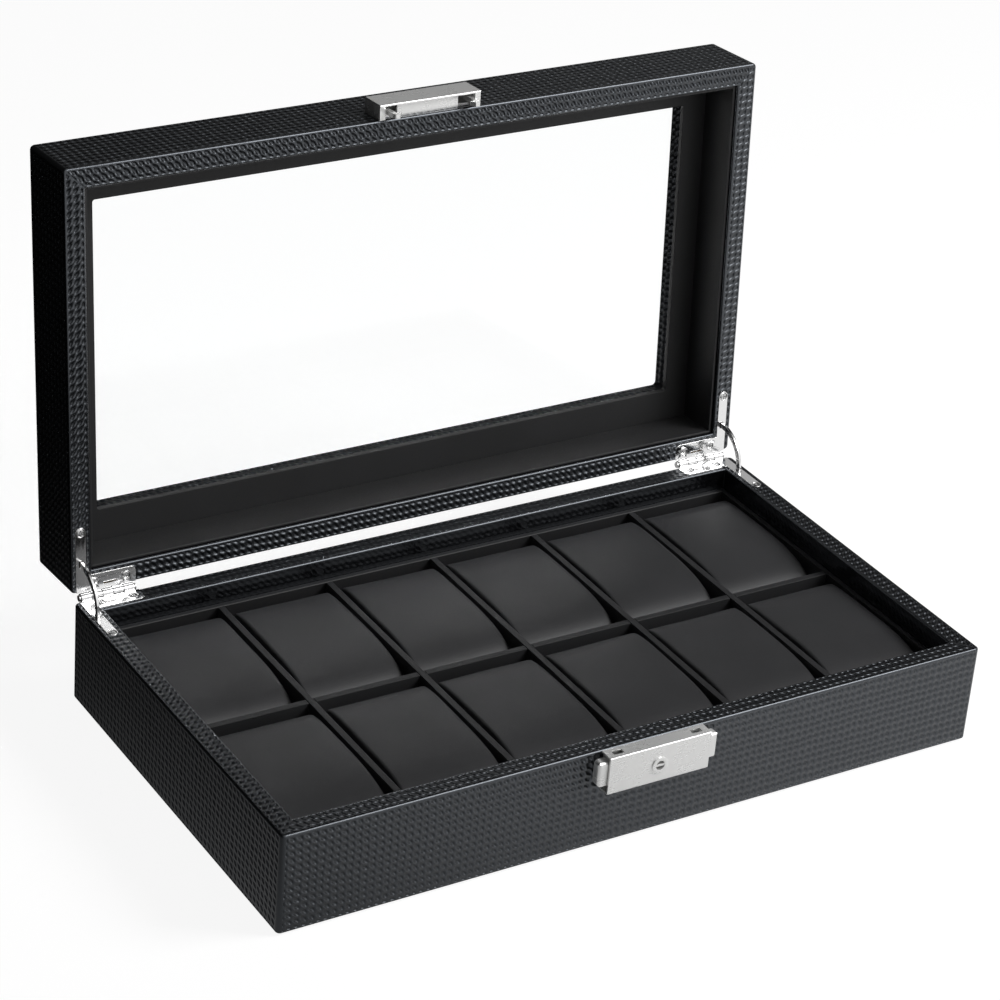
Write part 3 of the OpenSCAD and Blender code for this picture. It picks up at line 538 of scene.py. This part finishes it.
def pillow_start(rnd):
    """A sewn pillow before it is filled: a strip around two flat ends, a little under size."""
    w, d, h = (room - less for room, less in zip(PILLOW, UNFILLED))
    bm = bmesh.new()
    bmesh.ops.create_cube(bm, size=2)
    bmesh.ops.subdivide_edges(bm, edges=bm.edges[:], cuts=CUTS, use_grid_fill=True)
    tilt = rnd.uniform(-0.012, 0.012)
    crease = bm.edges.layers.float.new("crease_edge")
    seam = set()
    for e in bm.edges:
        if all(abs(abs(v.co.x) - 1) < 1e-4 and max(abs(v.co.y), abs(v.co.z)) > 0.9999
               for v in e.verts):
            e[crease] = SEAM_CREASE
            seam.update(v.index for v in e.verts)
    shift = rnd.uniform(-50, 50)
    for v in bm.verts:
        x, a, b = v.co
        n = SQUARE_UNDER if b < 0 else SQUARE_FRONT if a < 0 else SQUARE_BACK
        k = max(abs(a), abs(b)) / max((abs(a) ** n + abs(b) ** n) ** (1 / n), 1e-9)
        y, z = a * k * d / 2, b * k * h / 2
        soft = noise.noise(Vector((x * 0.8 + shift, y * 0.03, z * 0.04)))
        x = x * w / 2 + 0.25 * soft
        v.co = (x * MM, (y + x * tilt) * MM, (z + 0.35 * soft) * MM)
    me = bpy.data.meshes.new("pillow")
    bm.to_mesh(me)
    bm.free()
    o = bpy.data.objects.new("pillow", me)
    scene.collection.objects.link(o)
    o.vertex_groups.new(name="seam").add(sorted(seam), SEAM_HOLD, "REPLACE")
    return o


def points_of(o):
    return np.array([v.co[:] for v in o.data.vertices])


def move_points(o, points):
    for v, co in zip(o.data.vertices, points):
        v.co = co


def swell(pads):
    """Cloth with pressure fills the pillows, all in one run."""
    for o, rnd in pads:
        mod = o.modifiers.new("fill", "CLOTH")
        cloth = mod.settings
        cloth.quality, cloth.mass = 6, 0.25
        cloth.tension_stiffness = cloth.compression_stiffness = 25
        cloth.shear_stiffness, cloth.bending_stiffness = 12, 3
        cloth.vertex_group_mass, cloth.pin_stiffness = "seam", 1.5
        cloth.use_pressure = True
        cloth.uniform_pressure_force = 4.0 + rnd.uniform(-0.5, 0.5)
        cloth.effector_weights.gravity = 0
        mod.point_cache.frame_start, mod.point_cache.frame_end = 1, FILL_FRAMES
    for f in range(1, FILL_FRAMES + 1):
        scene.frame_set(f)
        bpy.context.view_layer.update()
    for o, rnd in pads:
        start = points_of(o)
        bake_modifiers(o)
        move = points_of(o) - start
        far = np.linalg.norm(move, axis=1, keepdims=True)
        move_points(o, start + move * np.minimum(1, SWELL * MM / np.maximum(far, 1e-9)))
    scene.frame_set(1)


def settle(o, low, high):
    """Fits a filled pillow to its room: its sides stop softly, and it is flat underneath."""
    half, middle = (high - low) / 2, (high + low) / 2
    o.modifiers.new("smooth", "SUBSURF").levels = 1
    bake_modifiers(o)
    o.vertex_groups.clear()
    points = points_of(o)
    points -= (points.max(0) + points.min(0)) / 2
    room = np.array(half) - np.array(PLAY) * MM
    points *= np.minimum(room / points.max(0), 1.02)
    points[:, 2] = np.maximum(points[:, 2], FLAT_UNDER * MM - half.z)
    move_points(o, [Vector(co) + middle for co in points])


def pillows():
    rooms = ["pillow_%s_%d" % (side, i) for side in ("front", "back") for i in range(1, 7)]
    pads = []
    for name in rooms:
        rnd = random.Random(name)
        pads.append((pillow_start(rnd), rnd))
    swell(pads)
    for name, (o, rnd) in zip(rooms, pads):
        settle(o, *(Vector(corner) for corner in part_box(name)))
        o.name = o.data.name = name + "_suede"
        o.data.materials.append(MATERIALS["pillow_suede"])
        for p in o.data.polygons:
            p.use_smooth = True
        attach(o, name)
        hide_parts(name)


# ---------- the CAD's own pieces ----------

# Width of a softened edge, in millimetres, by material slot
SOFT_EDGES = {"tray_suede": 0.5, "lid_lining": 0.35, "hinge_chrome": 0.18, "satin_nickel": 0.16,
              "bright_steel": 0.1, "clear_glass": 0.2}


def soften(o, width):
    o.modifiers.new("weld", "WELD").merge_threshold = 2e-6
    mod = o.modifiers.new("edge", "BEVEL")
    mod.width, mod.segments, mod.limit_method = width * MM, 2, "ANGLE"
    mod.angle_limit = math.radians(32)
    mod.harden_normals = False
    mod.use_clamp_overlap = True
    for p in o.data.polygons:
        p.use_smooth = True
    even_normals(o)


# ---------- lights, floor and background ----------

def make_world():
    """White where it is seen, through glass too. It lights softly from the right, and metal
    sees it white above the front of the studio and dark behind."""
    world = bpy.data.worlds.new("studio")
    scene.world = world
    t = Tree(world, "World", "Generated")
    path = t.node("LightPath").outputs
    soft = t.spread(t.toward(Vector((0.75, 0.1, 0.56)).normalized()), -0.35, 0.45, 0.02, 0.10)
    shine = t.spread(t.toward(Vector((0.25, -0.75, 0.6)).normalized()), 0.5, 0.9, 0.02, 1.0)
    level = t.mix_levels(path["Is Glossy Ray"], soft, shine)
    seen = t.math("MAXIMUM", path["Is Camera Ray"], path["Is Transmission Ray"])
    white = t.spread(path["Glossy Depth"], 0, 1, 1.0, 0.35)    # dimmer through glass, reflected
    t.finish(t.node("Background", i0=(1, 1, 1, 1), i1=t.mix_levels(seen, level, white)))


def make_floor():
    """Pale floor: white with a faint shadow where it is seen. Gloss sees it bright at the right
    and dark at the left."""
    t = Tree(bpy.data.materials.new("floor"))
    path = t.node("LightPath").outputs
    bright = t.spread(t.toward((0.85, -0.5, 0)), -0.31, 0.22, 0.0, 0.87)
    seen = t.math("MAXIMUM", path["Is Camera Ray"], path["Is Transmission Ray"])
    seen = t.math("MAXIMUM", seen, t.math("MULTIPLY", path["Is Glossy Ray"], bright))
    color = t.mix(path["Is Glossy Ray"], (0.8, 0.8, 0.8, 1), (0.01, 0.01, 0.01, 1))
    dull = t.node("BsdfDiffuse", Color=color)
    glow = t.node("Emission", Color=(1, 1, 1, 1), Strength=0.91)
    faint = t.node("BsdfDiffuse", Color=(0.17, 0.17, 0.17, 1))
    shown = t.node("AddShader", i0=glow.outputs[0], i1=faint.outputs[0])
    t.finish(t.node("MixShader", i0=seen, i1=dull.outputs[0], i2=shown.outputs[0]))
    t.owner.cycles.emission_sampling = "NONE"
    me = bpy.data.meshes.new("floor")
    half = 6.0
    corners = [(-half, -half, 0), (half, -half, 0), (half, half, 0), (-half, half, 0)]
    me.from_pydata(corners, [], [(0, 1, 2, 3)])
    me.materials.append(t.owner)
    o = bpy.data.objects.new("floor", me)
    scene.collection.objects.link(o)


def lamp(name, at, to, size, power, glossy=True, diffuse=True):
    data = bpy.data.lights.new(name, "AREA")
    data.shape, data.energy = "RECTANGLE", power
    data.size, data.size_y = size
    o = bpy.data.objects.new(name, data)
    scene.collection.objects.link(o)
    o.location = at
    o.visible_glossy, o.visible_diffuse = glossy, diffuse
    o.rotation_euler = (Vector(to) - Vector(at)).to_track_quat("-Z", "Y").to_euler()


# ---------- everything ----------

make_camera()
make_world()
make_floor()
lamp("key", (0.80, -0.50, 0.95), (0, 0, 0.06), (0.5, 0.5), 14.0, glossy=False)
lamp("spark", (0.60, -0.60, 0.90), (0, 0, 0.06), (0.8, 0.6), 9.5, diffuse=False)
lamp("back", (1.05, 1.55, 1.15), (0, 0, 0.08), (1.2, 0.8), 1.25)

slots = {part["node"]: part["material_slot"] for part in frame["record"]["subparts"]}
for name, o in nodes.items():
    o.data.materials.clear()
    o.data.materials.append(MATERIALS[slots[name]])
base_cover()
lid_cover()
pillows()
for name, o in nodes.items():
    if slots[name] in SOFT_EDGES:
        soften(o, SOFT_EDGES[slots[name]])
